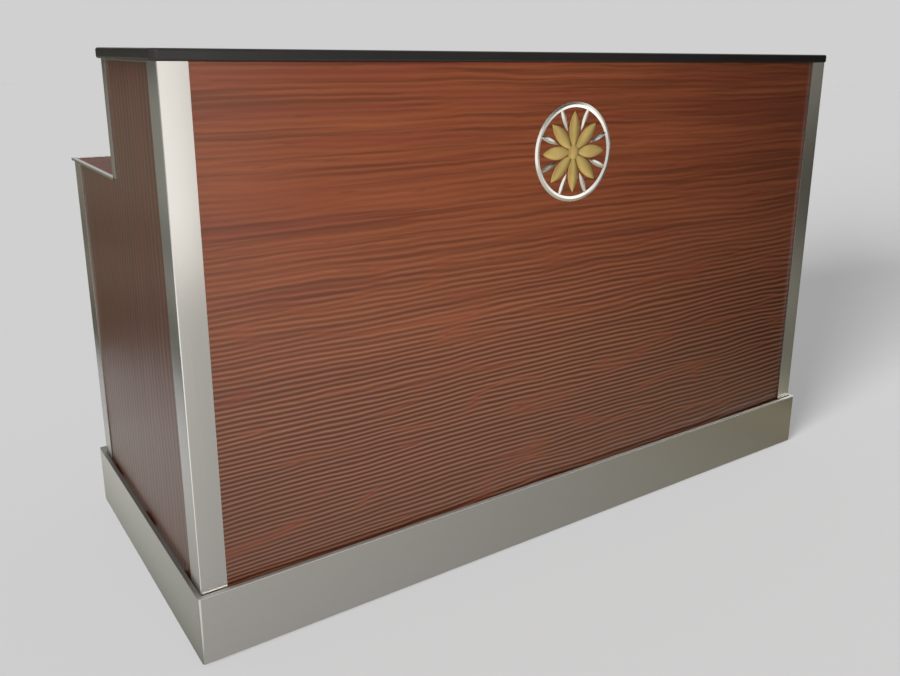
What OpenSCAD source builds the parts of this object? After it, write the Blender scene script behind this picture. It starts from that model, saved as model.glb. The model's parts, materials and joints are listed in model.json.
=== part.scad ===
/* [Body] */
// Length between the outer faces of the corner trims
body_l = 1830; // [1700:1:2100]
// Depth from the front trims' face to the rear trims' face
body_d = 757; // [735:1:850]
// Depth of the raised part, from the front trims' face to its rear trims
high_d = 384; // [340:1:386]
// Height of the bar top's upper face above the floor
bar_h = 1172; // [1110:1:1220]
// Height of the worktop's upper face above the floor
work_h = 914; // [880:1:960]
// Thickness of the front, side, divider, deck and door boards
board_t = 18; // [15:0.5:20]

/* [Bar top] */
// Thickness of the bar top slab
slab_t = 21; // [16:0.5:30]
// Overhang of the slab past the front trims
slab_front = 3; // [0:0.5:12]
// Overhang of the slab past each side trim
slab_side = 10; // [0:0.5:20]
// Overhang of the slab past the raised part's rear
slab_rear = 5; // [0:0.5:30]
// Radius of the slab's corners in plan
slab_corner_r = 14; // [8:0.5:30]
// Rounding of the slab's upper and lower edges
slab_edge_r = 5; // [1:0.5:7]

/* [Trims] */
// Thickness of the folded trim sheet
trim_sheet = 2; // [1:0.1:2.1]
// Height of the front trims' outer face above the front panel
trim_proud = 6; // [4:0.5:10]
// Height of the trims' outer face above the end panels
side_proud = 2.5; // [2.5:0.1:5]
// Outer bend radius of the trims
trim_bend = 2.5; // [2.2:0.1:2.5]
// Width of a front corner trim on the front
trim_front_w = 53; // [40:1:70]
// Width of a front corner trim on the side
trim_side_w = 58; // [40:1:70]
// Width of a rear trim on the side
rear_trim_w = 58; // [40:1:70]
// Width of a riser trim on the side
riser_trim_w = 28; // [20:1:40]
// Thickness of the strip between an end panel and the slab
strip_t = 2.5; // [1:0.5:4]
// Height of the turned foot of a front corner trim
foot_h = 2; // [1:0.5:4]
// Reach of the turned foot past the trim's face
foot_proud = 2.5; // [1:0.5:5]

/* [Worktop] */
// Thickness of the worktop sheet
sheet_t = 4; // [3:0.5:8]
// Overhang of the worktop past the rear trims
work_rear = 33; // [20:1:40]
// Thickness of the worktop's edging
edging_t = 1; // [0.8:0.1:2]
// Width of the edging on the worktop's upper face
edging_w = 10; // [6:0.5:16]

/* [Kick skirt] */
// Height of the skirt
skirt_h = 147; // [136:1:149]
// Gap between the skirt and the floor
floor_gap = 6; // [3:0.5:12]
// Reach of the skirt past the front trims
skirt_front = 14; // [11:0.5:20]
// Reach of the skirt past each side trim
skirt_side = 10; // [9:0.5:16]
// Reach of the skirt past the rear trims
skirt_rear = 35; // [34:0.5:45]
// Thickness of the skirt's sheet
skirt_sheet = 2; // [1:0.1:3]
// Width of the skirt's turned top lip
skirt_lip = 9; // [3:0.5:9]
// Outer bend radius of the skirt's corners
skirt_bend = 6; // [4:0.5:7]
// Width of the skirt's returns at the rear corners
skirt_return = 60; // [40:1:90]
// Length of a spacer block between skirt and panel
spacer_l = 60; // [40:1:100]
// Height of a spacer block
spacer_h = 8; // [6:0.5:17]

/* [Ornament] */
// Diameter of the ornament's ring
ornament_d = 226; // [180:1:260]
// Distance from the bar top's upper face down to the ornament's centre
ornament_drop = 220; // [180:1:270]
// Thickness of the ornament's plates
ornament_t = 4; // [2:0.5:5]
// Number of large petals
petals = 8; // [6:1:10]

/* [Base] */
// Height of the casters from the floor to the top of their plates
caster_h = 130; // [128:0.5:136]
// Height of the frame's angle iron
angle_h = 25; // [20:1:32]
// Width of the angle iron's top leg
angle_w = 30; // [22:1:40]
// Thickness of the angle iron
angle_t = 3; // [2.5:0.5:5]
// Thickness of the plates that the casters bolt to
pad_t = 6; // [4:0.5:8]
// Distance of the front and rear kingpins from the trims' side face
caster_inset_x = 110; // [105:1:130]
// Distance of the front kingpins from the front trims' face
caster_inset_front = 110; // [105:1:130]
// Distance of the rear kingpins from the rear trims' face
caster_inset_rear = 85; // [80:1:110]

/* [Casters] */
// Diameter of the wheel over its tread
wheel_d = 100; // [90:1:100]
// Width of the wheel
wheel_w = 32; // [26:1:34]
// Diameter of the hard wheel core
core_d = 62; // [50:1:70]
// Horizontal distance from kingpin to axle
trail = 35; // [25:1:36]
// Diameter of the axle bolt
axle_d = 12; // [8:0.5:14]
// Diameter of the kingpin
kingpin_d = 12; // [10:0.5:14]
// Thickness of a fork leg
leg_t = 3; // [2.5:0.5:4]
// Length of a caster plate, along the bar
plate_l = 95; // [90:1:110]
// Width of a caster plate, across the bar
plate_w = 76; // [72:1:90]
// Diameter of a caster bolt
bolt_d = 8; // [6:0.5:8]

/* [Doors] */
// Distance of a divider's centre from the bar's middle
divider_x = 300; // [292:1:340]
// Gap round a door
door_gap = 3; // [2.5:0.5:4]
// Diameter of the hinge knuckles
knuckle_d = 8; // [7:0.5:9]
// Diameter of the hinge pins
hinge_pin_d = 4; // [3:0.5:4.5]
// Height of a hinge
hinge_h = 80; // [60:1:110]
// Width of a door leaf of a hinge
leaf_w = 28; // [20:1:36]
// Thickness of a hinge leaf
leaf_t = 2; // [1.5:0.5:2.5]
// Distance between the posts of a door handle
handle_l = 160; // [120:1:200]
// Diameter of the handle's bar
handle_d = 10; // [8:0.5:12]
// Reach of the handle past the door
handle_proud = 28; // [24:0.5:30]
// Distance of handle and lock from the door's free edge
handle_edge = 34; // [30:1:45]
// Diameter of a lock's key plug
plug_d = 15; // [12:0.5:16]
// Length of a lock's cam, from its axis to its tip
cam_l = 29; // [27:0.5:32]

/* [Shelves] */
// Height of a shelf's upper face above the floor
shelf_z = 546; // [400:1:640]
// Thickness of a shelf
shelf_t = 16; // [15:0.5:20]
// Diameter of a shelf pin
shelf_pin_d = 5; // [4:0.5:6]

/* [Ice bin] */
// Distance from a divider to the bin's mouth
bin_side = 36; // [34:1:70]
// Distance from the bin's mouth to the rear trims' face
bin_rear = 48; // [44:1:88]
// Depth of the bin below the worktop
bin_depth = 230; // [180:1:240]
// Thickness of the liner's sheet
liner_t = 1.5; // [1:0.1:2]
// Width of the liner's rim on the worktop
rim_w = 14; // [10:0.5:16]
// Distance from the raised part's rear to the bin's mouth
bin_gap = 25; // [20:1:30]
// Thickness of the foam jacket
foam_t = 22; // [15:1:24]
// Radius of the bin's vertical corners
bin_corner_r = 12; // [8:0.5:20]
// Width of one step of the cover rails
rail_step = 7; // [5:0.5:10]
// Height of one step of the cover rails
rail_rise = 6; // [5:0.5:8]
// Thickness of a bin cover
cover_t = 2; // [1.5:0.5:3]
// Diameter of a cover's finger hole
finger_d = 28; // [24:1:34]
// Distance from a cover's end to the middle of its finger hole
finger_in = 40; // [30:1:60]
// Outer diameter of the drain's hose tail
hose_tail_d = 20; // [18:0.5:24]
// Length of the drain's hose tail
hose_tail_l = 30; // [20:1:40]
// Diameter of the drain's bore
drain_d = 14; // [10:0.5:15]

/* [Speed rail] */
// Width of the bottle rail's trough, across the bar
rail_w = 92; // [85:1:100]
// Height of the trough's front wall
rail_front_h = 75; // [60:1:90]
// Height of the trough's back wall
rail_back_h = 105; // [95:1:110]
// Height of the trough's floor above the room's floor
rail_z = 440; // [360:1:450]
// Thickness of the trough's sheet
rail_t = 1.5; // [1:0.5:2]

/* [Hidden] */
// Clearance of parts that slide or swing past each other
gap = 0.3;
// Radial clearance of pins and shafts in their bores
fit = 0.05;
// Facet count of drawn circles
$fn = 64;

// Outer faces of the body: sides, front, rear of the raised part, rear
side_x = body_l / 2;
front_y = -(body_d + skirt_rear - skirt_front) / 2;
high_y = front_y + high_d;
rear_y = front_y + body_d;

// Faces of the boards
panel_x = side_x - side_proud;
inner_x = panel_x - board_t;
panel_y = front_y + trim_proud;
inner_y = panel_y + board_t;

// Levels, from the floor up
skirt_top = floor_gap + skirt_h;
frame_top = caster_h + angle_h;
deck_top = frame_top + board_t;
slab_z = bar_h - slab_t;
sheet_top = work_h - edging_t;
sheet_z = sheet_top - sheet_t;
board_z = sheet_z - board_t;
door_z0 = deck_top + door_gap;
door_z1 = board_z - door_gap;

// Faces of the dividers and of the left door
divider_out = divider_x + board_t / 2;
divider_in = divider_x - board_t / 2;
door_x0 = -inner_x + door_gap;
door_x1 = -divider_out - door_gap;
door_in_y = rear_y - board_t;

// Hinge axis of the left door, in the gap beside it
hinge_x = -inner_x + door_gap / 2;
hinge_y = rear_y + knuckle_d / 2;
hinge_end = 120;
hinge_levels = [door_z0 + hinge_end, door_z1 - hinge_end - hinge_h];

// Lock and handle of the left door
lock_x = door_x1 - handle_edge;
lock_z = 760;
handle_z = 600;
housing_r = plug_d / 2 + 2;
flange_r = housing_r + 3.5;
nut_t = 4;
cam_t = 3;
cam_y = door_in_y - nut_t - 1 - cam_t;
strike_t = 2;
strike_y = door_in_y - 1.5;
strike_reach = 15;
strike_depth = 26;
strike_h = 40;

// Door catches: their ends from the lock's middle, depth, height and gap to the door
catch_end = 24;
catch_start = 16;
catch_d = 14;
catch_h = 12;
catch_gap = 0.5;

// Casters: centres of the kingpins, front left first, then the pattern of the bolts
king_x = side_x - caster_inset_x;
king_front_y = front_y + caster_inset_front;
king_rear_y = rear_y - caster_inset_rear;
caster_spots = [
  [-king_x, king_front_y],
  [king_x, king_front_y],
  [-king_x, king_rear_y],
  [king_x, king_rear_y]
];
bolt_x = plate_l / 2 - 11.5;
bolt_y = plate_w / 2 - 11;
plate_t = 3;
race_r = 24;
race_z = caster_h - 12;
web_top = race_z - 0.5;
web_t = 4.5;
web_z = web_top - web_t;
king_head_r = kingpin_d / 2 + 3;
leg_in = wheel_w / 2 + 3;
leg_out = leg_in + leg_t;
axle_z = wheel_d / 2;
pedal_s = 62;
pedal_z = web_z - 7;
pedal_r = 5;
pedal_pin_r = 3;
tread_l = 36;
tread_half_t = 2;
shoe_in = 3;
shoe_t = 5;
shoe_h = 13;

// Frame members: cross rails, and the corner pads that the casters bolt to
cross_x = [-divider_x, divider_x];
pad_reach = king_x - plate_l / 2 - 12;
pad_depth = 170;

// Ice bin: its mouth between the dividers, the middle of it, its floor and its jacket
bin_l = 2 * (divider_in - bin_side);
bin_w = body_d - high_d - bin_gap - bin_rear;
bin_y = high_y + bin_gap + bin_w / 2;
bin_floor = work_h - bin_depth;
foam_z = bin_floor - liner_t - foam_t;
rail_low = work_h - 18;
rail_high = rail_low + rail_rise;
rail_foot = rail_low - 12;
cover_lap = 8;
cover_end = bin_l / 2 - 1;

// Drain: valve body under the jacket, with a ball in it
valve_half = 17;
spout_l = 18;
valve_z = foam_z - spout_l - valve_half;
spout_r = drain_d / 2 + 4;
ball_r = drain_d / 2 + 3.5;
stem_r = 4;
lever_l = 60;
lever_t = 5;

// Speed rail: ends, back and front of the trough, and its cleats on the dividers
trough_y1 = rear_y - 10;
trough_y0 = trough_y1 - rail_w;
cleat_t = 2;
cleat_h = 40;
cleat_top = rail_z + rail_back_h + 15;
cleat_in = divider_in - 8;
trough_x = cleat_in - cleat_t - 0.5;
hook_x = cleat_in + 2.5;
hook_drop = 20;

// Ornament: height of its centre, radii of its ring, petals and darts
ornament_z = bar_h - ornament_drop;
ring_r = ornament_d / 2;
ring_w = 12;
petal_end = 21;
petal_out = ring_r - petal_end;
petal_half = 15;
dart_l = 60;
dart_end = 2;
dart_out = ring_r - dart_end;
dart_half = 6;
boss_r = 17;

// Basic shapes

// Box between two opposite corners
module block(lo, hi) {
  translate(lo)
    cube(hi - lo);
}

// The same thing on the left and, mirrored, on the right
module both_sides() {
  children();
  mirror([1, 0, 0])
    children();
}

// Flat rectangle between two corners with round corners
module rounded_rect(lo, hi, r) {
  translate([lo.x + r, lo.y])
    square([hi.x - lo.x - 2 * r, hi.y - lo.y]);
  translate([lo.x, lo.y + r])
    square([hi.x - lo.x, hi.y - lo.y - 2 * r]);
  for (x = [lo.x + r, hi.x - r], y = [lo.y + r, hi.y - r])
    translate([x, y])
      circle(r);
}

// Rod along Y from y0 to y1
module rod_y(x, y0, y1, z, r) {
  translate([x, y0, z])
    rotate([-90, 0, 0])
      cylinder(h = y1 - y0, r = r);
}

// Rod along X from x0 to x1
module rod_x(x0, x1, y, z, r) {
  translate([x0, y, z])
    rotate([0, 90, 0])
      cylinder(h = x1 - x0, r = r);
}

// Upright rod from z0 to z1
module rod_z(x, y, z0, z1, r) {
  translate([x, y, z0])
    cylinder(h = z1 - z0, r = r);
}

// Bar top: a slab with rounded edges and round corners

module slab_section() {
  translate([0, slab_edge_r])
    square([slab_corner_r, slab_t - 2 * slab_edge_r]);
  square([slab_corner_r - slab_edge_r, slab_t]);
  for (y = [slab_edge_r, slab_t - slab_edge_r])
    translate([slab_corner_r - slab_edge_r, y])
      circle(slab_edge_r);
}

module slab_edge(length) {
  rotate([90, 0, 90])
    linear_extrude(length)
      slab_section();
}

module bar_top() {
  r = slab_corner_r;
  x = side_x + slab_side - r;
  y0 = front_y - slab_front + r;
  y1 = high_y + slab_rear - r;
  color("#2b2a28")
    translate([0, 0, slab_z]) {
      block([-x, y0, 0], [x, y1, slab_t]);
      translate([-x, y1, 0])
        slab_edge(2 * x);
      translate([x, y0, 0])
        rotate(180)
          slab_edge(2 * x);
      translate([x, y1, 0])
        rotate(-90)
          slab_edge(y1 - y0);
      translate([-x, y0, 0])
        rotate(90)
          slab_edge(y1 - y0);
      for (spot = [[x, y1, 0], [-x, y1, 90], [-x, y0, 180], [x, y0, 270]])
        translate([spot[0], spot[1], 0])
          rotate(spot[2])
            rotate_extrude(angle = 90)
              intersection() {
                slab_section();
                square([r, slab_t]);
              }
    }
}

// Panels

module front_panel() {
  color("#7a3b27")
    block([-panel_x, panel_y, caster_h], [panel_x, inner_y, slab_z]);
}

module side_panel() {
  outline = [
    [inner_y, caster_h],
    [rear_y - trim_sheet, caster_h],
    [rear_y - trim_sheet, sheet_z],
    [high_y - trim_sheet, sheet_z],
    [high_y - trim_sheet, slab_z - strip_t],
    [inner_y, slab_z - strip_t]
  ];
  color("#6b4a38")
    translate([-panel_x, 0, 0])
      rotate([90, 0, 90])
        linear_extrude(board_t)
          polygon(outline);
}

module divider() {
  color("#74412e")
    block([-divider_out, inner_y, deck_top], [-divider_in, rear_y, board_z]);
}

module bar_top_supports() {
  color("#74412e")
    both_sides()
      block([-divider_out, inner_y, sheet_top], [-divider_in, high_y - 20, slab_z]);
}

// Trims: folded sheet that stands on the boards with its turned lips

// Plan of a folded angle with its outer corner at the origin; a lip of 0 is left out
module folded_angle(front_w, side_w, front_lip, side_lip) {
  translate([trim_bend, 0])
    square([front_w - trim_bend, trim_sheet]);
  translate([0, trim_bend])
    square([trim_sheet, side_w - trim_bend]);
  intersection() {
    translate([trim_bend, trim_bend])
      difference() {
        circle(trim_bend);
        circle(trim_bend - trim_sheet);
      }
    square(trim_bend);
  }
  if (front_lip > 0)
    translate([front_w - trim_sheet, 0])
      square([trim_sheet, front_lip]);
  if (side_lip > 0)
    translate([0, side_w - trim_sheet])
      square([side_lip, trim_sheet]);
}

module corner_trim() {
  color("#b9b7b1") {
    translate([-side_x, front_y, skirt_top])
      linear_extrude(slab_z - skirt_top)
        folded_angle(trim_front_w, trim_side_w, trim_proud, side_proud);
    block(
      [-side_x + trim_bend, front_y - foot_proud, skirt_top],
      [-side_x + trim_front_w, front_y + trim_sheet, skirt_top + foot_h]
    );
  }
}

module rear_cap(side_w, y, z0, z1) {
  translate([-side_x, y, z0])
    mirror([0, 1, 0])
      linear_extrude(z1 - z0)
        folded_angle(side_proud + board_t, side_w, 0, side_proud);
}

module rear_trims() {
  color("#a9aaa5")
    both_sides()
      rear_cap(rear_trim_w, rear_y, skirt_top, sheet_z);
}

module riser_trims() {
  color("#a9aaa5")
    both_sides()
      rear_cap(riser_trim_w, high_y, work_h, slab_z);
}

module side_top_strips() {
  color("#c9c6bf")
    both_sides() {
      block([-panel_x, inner_y, slab_z - strip_t], [-inner_x, high_y - trim_sheet, slab_z]);
      block(
        [-side_x, front_y + trim_side_w, slab_z - strip_t],
        [-panel_x, high_y - riser_trim_w, slab_z]
      );
    }
}

// Worktop

module bin_mouth(grow) {
  rounded_rect(
    [-bin_l / 2 - grow, bin_y - bin_w / 2 - grow],
    [bin_l / 2 + grow, bin_y + bin_w / 2 + grow],
    bin_corner_r + grow
  );
}

module worktop() {
  x = side_x - edging_t;
  color("#80513f")
    translate([0, 0, sheet_z])
      linear_extrude(sheet_t)
        difference() {
          union() {
            translate([-x, high_y - trim_sheet])
              square([2 * x, body_d - high_d + trim_sheet + work_rear - edging_t]);
            translate([-inner_x, inner_y])
              square([2 * inner_x, high_y - inner_y]);
          }
          bin_mouth(liner_t + gap);
        }
}

module worktop_edging() {
  edge_y = rear_y + work_rear;
  color("#c4c2bc") {
    both_sides() {
      block([-side_x, high_y, sheet_top], [-side_x + edging_w, edge_y, work_h]);
      block([-side_x, high_y, sheet_z], [-side_x + edging_t, edge_y, work_h]);
    }
    block([-side_x, edge_y - edging_w, sheet_top], [side_x, edge_y, work_h]);
    block([-side_x, edge_y - edging_t, sheet_z - edging_t], [side_x, edge_y, work_h]);
    block([-side_x, edge_y - edging_w, sheet_z - edging_t], [side_x, edge_y, sheet_z]);
  }
}

module worktop_board() {
  color("#74412e")
    translate([0, 0, board_z])
      linear_extrude(board_t)
        difference() {
          translate([-inner_x, inner_y])
            square([2 * inner_x, rear_y - inner_y]);
          bin_mouth(liner_t + gap);
        }
}

// Kick skirt: folded sheet round the foot, open at the rear between its returns

module skirt_plan(inset) {
  rounded_rect(
    [-side_x - skirt_side + inset, front_y - skirt_front + inset],
    [side_x + skirt_side - inset, rear_y + skirt_rear - inset],
    skirt_bend - inset
  );
}

module skirt_rear_opening() {
  x = side_x + skirt_side - skirt_return;
  translate([-x, rear_y])
    square([2 * x, skirt_rear + 1]);
}

module kick_skirt() {
  lip_x = side_x + skirt_side - skirt_lip;
  color("#9b9992") {
    translate([0, 0, floor_gap])
      linear_extrude(skirt_h)
        difference() {
          skirt_plan(0);
          skirt_plan(skirt_sheet);
          skirt_rear_opening();
        }
    translate([0, 0, skirt_top - skirt_sheet])
      linear_extrude(skirt_sheet)
        difference() {
          skirt_plan(0);
          translate([-lip_x, front_y - skirt_front + skirt_lip])
            square([2 * lip_x, body_d + skirt_front - skirt_lip + 1]);
          skirt_rear_opening();
        }
  }
}

module skirt_spacers() {
  z0 = caster_h + 2;
  reach_x = side_x + skirt_side - skirt_sheet;
  front_step = (body_l - 2 * trim_front_w - spacer_l) / 4;
  side_step = (body_d - 2 * trim_side_w - spacer_l) / 2;
  color("#3a3a38") {
    for (i = [-2 : 2])
      translate([i * front_step, 0, 0])
        block(
          [-spacer_l / 2, front_y - skirt_front + skirt_sheet, z0],
          [spacer_l / 2, panel_y, z0 + spacer_h]
        );
    both_sides()
      for (i = [0 : 2])
        translate([0, front_y + trim_side_w + i * side_step, 0])
          block([-reach_x, 0, z0], [-panel_x, spacer_l, z0 + spacer_h]);
  }
}

// Ornament: an eight-petal rosette in a ring, flat on the front panel

// Flat pointed leaf from r0 to r1 along +X
module leaf(r0, r1, half) {
  span = (r1 - r0) / 2;
  arc = (span * span + half * half) / (2 * half);
  translate([(r0 + r1) / 2, 0])
    intersection() {
      translate([0, arc - half])
        circle(arc, $fn = 180);
      translate([0, half - arc])
        circle(arc, $fn = 180);
    }
}

module on_front(t) {
  translate([0, panel_y, ornament_z])
    rotate([90, 0, 0])
      linear_extrude(t)
        children();
}

module ornament_silver() {
  color("#d9d6cf")
    on_front(ornament_t) {
      difference() {
        circle(ring_r, $fn = 180);
        circle(ring_r - ring_w, $fn = 180);
      }
      for (i = [0 : petals - 1])
        rotate((i + 0.5) * 360 / petals + 90)
          leaf(dart_out - dart_l, dart_out, dart_half);
    }
}

module ornament_gold() {
  color("#b79a55")
    on_front(ornament_t) {
      circle(boss_r);
      for (i = [0 : petals - 1])
        rotate(i * 360 / petals + 90)
          leaf(boss_r / 2, petal_out, petal_half);
    }
}

// Base: welded angle iron with pads for the casters, and the deck on it

module frame_rail(x0, x1, y, way) {
  block([x0, min(y, y + way * angle_t), caster_h], [x1, max(y, y + way * angle_t), frame_top]);
  block([x0, min(y, y + way * angle_w), frame_top - angle_t], [x1, max(y, y + way * angle_w), frame_top]);
}

module frame_end() {
  block([-inner_x, inner_y, caster_h], [-inner_x + angle_t, rear_y, frame_top]);
  block([-inner_x, inner_y, frame_top - angle_t], [-inner_x + angle_w, rear_y, frame_top]);
  translate([-pad_reach, 0, 0])
    frame_cross();
}

module frame_cross() {
  block([-angle_t / 2, inner_y, caster_h], [angle_t / 2, rear_y, frame_top]);
  block([-angle_w / 2, inner_y, frame_top - angle_t], [angle_w / 2, rear_y, frame_top]);
}

module caster_pad(spot, y0, y1) {
  difference() {
    block([-inner_x, y0, caster_h], [-pad_reach, y1, caster_h + pad_t]);
    for (x = [-bolt_x, bolt_x], y = [-bolt_y, bolt_y])
      rod_z(spot.x + x, spot.y + y, caster_h - 1, caster_h + pad_t + 1, bolt_d / 2 + fit);
  }
}

module base_frame() {
  color("#33363a") {
    frame_rail(-inner_x, inner_x, inner_y, 1);
    frame_rail(-inner_x, inner_x, rear_y, -1);
    both_sides() {
      frame_end();
      caster_pad(caster_spots[0], inner_y, inner_y + pad_depth);
      caster_pad(caster_spots[2], rear_y - pad_depth, rear_y);
    }
    for (x = cross_x)
      translate([x, 0, 0])
        frame_cross();
  }
}

module base_deck() {
  color("#74412e")
    block([-inner_x, inner_y, frame_top], [inner_x, rear_y, deck_top]);
}

module top_brackets() {
  leg = 40;
  width = 30;
  front_spots = [-0.84, -0.5, 0, 0.5, 0.84] * inner_x;
  color("#8d8f90") {
    for (x = front_spots)
      translate([x, 0, 0]) {
        block([-width / 2, inner_y, slab_z - leg], [width / 2, inner_y + angle_t, slab_z]);
        block([-width / 2, inner_y, slab_z - angle_t], [width / 2, inner_y + leg, slab_z]);
      }
    both_sides()
      translate([0, (inner_y + high_y) / 2, 0]) {
        block([-inner_x, -width / 2, slab_z - leg], [-inner_x + angle_t, width / 2, slab_z]);
        block([-inner_x, -width / 2, slab_z - angle_t], [-inner_x + leg, width / 2, slab_z]);
      }
  }
}

// Casters

module caster_plates() {
  color("#9a9d9f")
    for (spot = caster_spots)
      translate([spot.x, spot.y, 0]) {
        difference() {
          block([-plate_l / 2, -plate_w / 2, caster_h - plate_t], [plate_l / 2, plate_w / 2, caster_h]);
          for (x = [-bolt_x, bolt_x], y = [-bolt_y, bolt_y])
            rod_z(x, y, caster_h - plate_t - 1, caster_h + 1, bolt_d / 2 + fit);
        }
        rod_z(0, 0, race_z, caster_h - plate_t, race_r);
        rod_z(0, 0, web_z - 4, race_z, kingpin_d / 2);
        rod_z(0, 0, web_z - 4, web_z - 0.5, king_head_r);
      }
}

module caster_bolts() {
  head_h = 5;
  head_r = bolt_d * 0.85;
  nut_z = caster_h + pad_t;
  color("#b5b7b8")
    for (spot = caster_spots, x = [-bolt_x, bolt_x], y = [-bolt_y, bolt_y])
      translate([spot.x + x, spot.y + y, 0]) {
        rod_z(0, 0, caster_h - plate_t, nut_z, bolt_d / 2);
        translate([0, 0, caster_h - plate_t - head_h])
          cylinder(h = head_h, r = head_r, $fn = 6);
        translate([0, 0, nut_z])
          cylinder(h = head_h, r = head_r, $fn = 6);
      }
}

// Side outline of a fork leg, trailing along the first coordinate
module leg_outline(pedal) {
  nose = pedal ? pedal_s + 8 : trail + 14;
  difference() {
    union() {
      polygon([
        [-18, web_top],
        [nose, web_top],
        [nose, web_z - 12],
        [trail + 11, axle_z],
        [trail - 11, axle_z],
        [-18, web_z - 6]
      ]);
      translate([trail, axle_z])
        circle(11);
    }
    translate([trail, axle_z])
      circle(axle_d / 2 + fit);
    if (pedal)
      translate([pedal_s, pedal_z])
        circle(pedal_pin_r + fit);
  }
}

module caster_fork(spot, pedal) {
  translate([spot.x, spot.y, 0]) {
    color("#a4a7a9") {
      for (x = [-leg_out, leg_in])
        translate([x, 0, 0])
          rotate([90, 0, 90])
            linear_extrude(leg_t)
              leg_outline(pedal);
      difference() {
        block([-leg_out, -18, web_z], [leg_out, trail + 6, web_top]);
        rod_z(0, 0, web_z - 1, web_top + 1, kingpin_d / 2 + fit);
      }
    }
    color("#c2c4c5") {
      rod_x(-leg_out - 4, leg_out + 4, trail, axle_z, axle_d / 2);
      for (x = [-leg_out - 4, leg_out])
        translate([x, trail, axle_z])
          rotate([0, 90, 0])
            cylinder(h = 4, r = axle_d * 0.8, $fn = 6);
    }
  }
}

module caster_hub(spot) {
  color("#5c5f62")
    translate([spot.x, spot.y + trail, axle_z])
      rotate([0, 90, 0])
        difference() {
          union() {
            cylinder(h = wheel_w - 8, r = core_d / 2, center = true);
            cylinder(h = wheel_w + 4, r = axle_d, center = true);
          }
          cylinder(h = wheel_w + 6, r = axle_d / 2 + fit, center = true);
        }
}

module caster_tyre(spot) {
  shoulder = 5;
  color("#2c2c2c")
    translate([spot.x, spot.y + trail, axle_z])
      rotate([0, 90, 0])
        rotate_extrude() {
          translate([core_d / 2 + fit, -wheel_w / 2])
            square([wheel_d / 2 - core_d / 2 - fit - shoulder, wheel_w]);
          translate([core_d / 2 + fit, -wheel_w / 2 + shoulder])
            square([wheel_d / 2 - core_d / 2 - fit, wheel_w - 2 * shoulder]);
          for (y = [-1, 1])
            translate([wheel_d / 2 - shoulder, y * (wheel_w / 2 - shoulder)])
              circle(shoulder);
        }
}

// Brake pedal: a tread plate and a shoe on a cross pin in the fork's legs
module brake_pedal(spot) {
  half = leg_in - gap;
  color("#b0382e")
    translate([spot.x, spot.y, 0]) {
      rod_x(-leg_out, leg_out, pedal_s, pedal_z, pedal_pin_r);
      rod_x(-half, half, pedal_s, pedal_z, pedal_r);
      block([-half, pedal_s, pedal_z - tread_half_t], [half, pedal_s + tread_l, pedal_z + tread_half_t]);
      block([-half, pedal_s + shoe_in, pedal_z - shoe_h], [half, pedal_s + shoe_in + shoe_t, pedal_z]);
    }
}

// Doors and their fittings, drawn for the left door

module door() {
  color("#74412e")
    difference() {
      block([door_x0, door_in_y, door_z0], [door_x1, rear_y, door_z1]);
      rod_y(lock_x, door_in_y - 1, rear_y + 1, lock_z, housing_r + fit);
    }
}

module door_fittings() {
  bar_y = rear_y + handle_proud - handle_d / 2;
  color("#c4c6c6") {
    for (z = [handle_z - handle_l / 2, handle_z + handle_l / 2]) {
      rod_y(lock_x, rear_y, bar_y, z, handle_d / 2);
      translate([lock_x, bar_y, z])
        sphere(handle_d / 2);
    }
    rod_z(lock_x, bar_y, handle_z - handle_l / 2, handle_z + handle_l / 2, handle_d / 2);
    difference() {
      union() {
        rod_y(lock_x, door_in_y - nut_t, rear_y + 2, lock_z, housing_r);
        rod_y(lock_x, rear_y, rear_y + 2, lock_z, flange_r);
        translate([lock_x, door_in_y - nut_t, lock_z])
          rotate([-90, 0, 0])
            cylinder(h = nut_t, r = flange_r, $fn = 6);
      }
      rod_y(lock_x, door_in_y - nut_t - 1, rear_y + 3, lock_z, plug_d / 2 + fit);
    }
  }
}

// Key plug and cam, with the cam hanging down
module door_lock() {
  cam_w = 14;
  key_w = 2;
  key_l = 9;
  color("#d0c9a8")
    difference() {
      union() {
        rod_y(lock_x, cam_y, rear_y + 2.5, lock_z, plug_d / 2);
        rod_y(lock_x, cam_y, cam_y + cam_t, lock_z, cam_w / 2);
        block(
          [lock_x - cam_w / 2, cam_y, lock_z - cam_l],
          [lock_x + cam_w / 2, cam_y + cam_t, lock_z]
        );
      }
      block(
        [lock_x - key_w / 2, rear_y - 6, lock_z - key_l / 2],
        [lock_x + key_w / 2, rear_y + 3, lock_z + key_l / 2]
      );
    }
}

module lock_strikes() {
  x = -divider_out;
  color("#b5b7b8")
    both_sides() {
      block(
        [x - strike_t, strike_y - strike_depth, lock_z - strike_h / 2],
        [x, strike_y, lock_z + strike_h / 2]
      );
      block(
        [x - strike_reach, strike_y - strike_t, lock_z - strike_h / 2],
        [x, strike_y, lock_z + strike_h / 2]
      );
    }
}

module door_catches() {
  color("#d8d4c8")
    both_sides()
      block(
        [lock_x - catch_end, door_in_y - catch_gap - catch_d, board_z - catch_h],
        [lock_x + catch_start, door_in_y - catch_gap, board_z]
      );
}

// Hinges: three knuckles each, the outer two on the frame leaf with the pin

module hinge_knuckle(z0, z1, toward) {
  rod_z(hinge_x, hinge_y, z0, z1, knuckle_d / 2);
  block(
    [min(hinge_x, hinge_x + toward), rear_y, z0],
    [max(hinge_x, hinge_x + toward), rear_y + leaf_t, z1]
  );
}

module hinge_frame_leaf(z) {
  third = hinge_h / 3;
  clear = knuckle_d / 2 + gap;
  leaf_end = -side_x + 2;
  block([leaf_end, rear_y, z], [hinge_x - clear, rear_y + leaf_t, z + hinge_h]);
  hinge_knuckle(z, z + third - gap, -clear - 1);
  hinge_knuckle(z + 2 * third + gap, z + hinge_h, -clear - 1);
  rod_z(hinge_x, hinge_y, z, z + hinge_h, hinge_pin_d / 2);
}

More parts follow.
